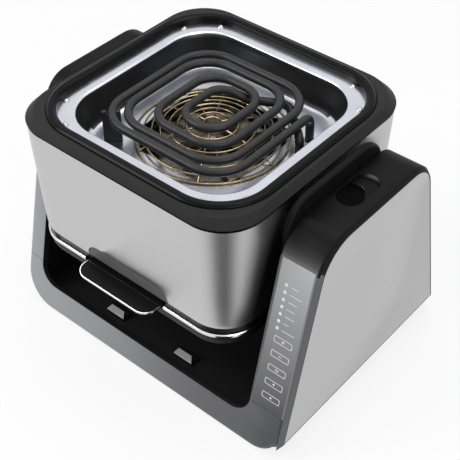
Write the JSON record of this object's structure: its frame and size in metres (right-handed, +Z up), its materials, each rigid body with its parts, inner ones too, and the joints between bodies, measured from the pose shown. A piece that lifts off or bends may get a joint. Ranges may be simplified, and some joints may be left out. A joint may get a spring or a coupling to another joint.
{
  "type": "flip-over air fryer grill",
  "caption": "Countertop grill and air fryer: a square steel heater head turns over on trunnions between a side wall and a control tower above a pot well.",
  "frame": {"origin": "on the table under the middle of the part's box", "axes": "+X from the side wall to the control tower, +Y from the finger lip to the back, +Z up"},
  "size_m": [0.351, 0.2998, 0.2676],
  "materials": {
    "black_plastic": "fine grained moulding",
    "black_gloss": "satin",
    "well_black": "matt",
    "cover_black": "satin black",
    "collar_black": "matt",
    "gasket_black": "smooth, shining",
    "rubber_black": "matt",
    "bezel_silver": "silver lacquer",
    "panel_grey": "satin grey with printed marks",
    "recess_grey": "satin grey",
    "cap_silver": "silver lacquer",
    "brushed_band": "brushed along the band",
    "brushed_panel": "brushed",
    "pan_bright": "polished",
    "trim_chrome": "polished",
    "element_black": "matt black coating",
    "guard_wire": "heat tinted wire",
    "zinc_steel": "zinc plated",
    "screw_steel": "plated",
    "bush_brass": "turned",
    "ceramic": "unglazed ceramic",
    "board_green": "lacquered board"
  },
  "bodies": {
    "base": {"base_plate": "black_plastic", "feet": "rubber_black", "base_screws": "screw_steel", "well_tray": "well_black", "pot_stops": "black_plastic", "stop_caps": "cap_silver", "front_bezel": "bezel_silver", "rear_sill": "well_black", "left_wall": "black_plastic", "left_panel": "brushed_panel", "left_bush": "bush_brass", "tower_shell": "black_plastic", "side_panel": "brushed_panel", "control_panel": "panel_grey", "control_board": "board_green", "power_board": "board_green", "cord_gland": "rubber_black", "right_housing": "black_plastic", "right_bush": "bush_brass"},
    "head": {"band": "brushed_band", "finger_recess": "recess_grey", "collar": "collar_black", "gasket": "gasket_black", "reflector_pan": "pan_bright", "pan_clips": "screw_steel", "heating_element": "element_black", "element_support": "element_black", "element_bushes": "ceramic", "fan_guard": "guard_wire", "fan_well": "pan_bright", "heat_shield": "zinc_steel", "motor_bracket": "zinc_steel", "motor": "zinc_steel", "thermostat": "ceramic", "bottom_cover": "cover_black", "lower_trim": "trim_chrome", "handle_lip": "black_plastic", "lip_trim": "trim_chrome", "head_screws": "screw_steel", "left_trunnion": "zinc_steel", "right_trunnion": "zinc_steel", "lock_disc": "zinc_steel"},
    "lock": {"lock_knob": "black_gloss", "lock_bolt": "zinc_steel"},
    "fan": {"fan": "guard_wire", "fan_shaft": "zinc_steel", "cooling_fan": "black_plastic"}
  },
  "joints": [
    {"name": "head_flip", "type": "hinge", "parent": "base", "child": "head", "pos_m": [-0.015, 0.00545, 0.201], "axis": [-1, 0, 0], "range_deg": [0, 180]},
    {"name": "lock_slide", "type": "slide", "parent": "base", "child": "lock", "axis": [0, 1, 0], "range_m": [0, 0.0235]},
    {"name": "fan_spin", "type": "hinge", "parent": "head", "child": "fan", "pos_m": [-0.015, 0.00545, 0.21], "axis": [0, 0, 1], "continuous": true}
  ]
}
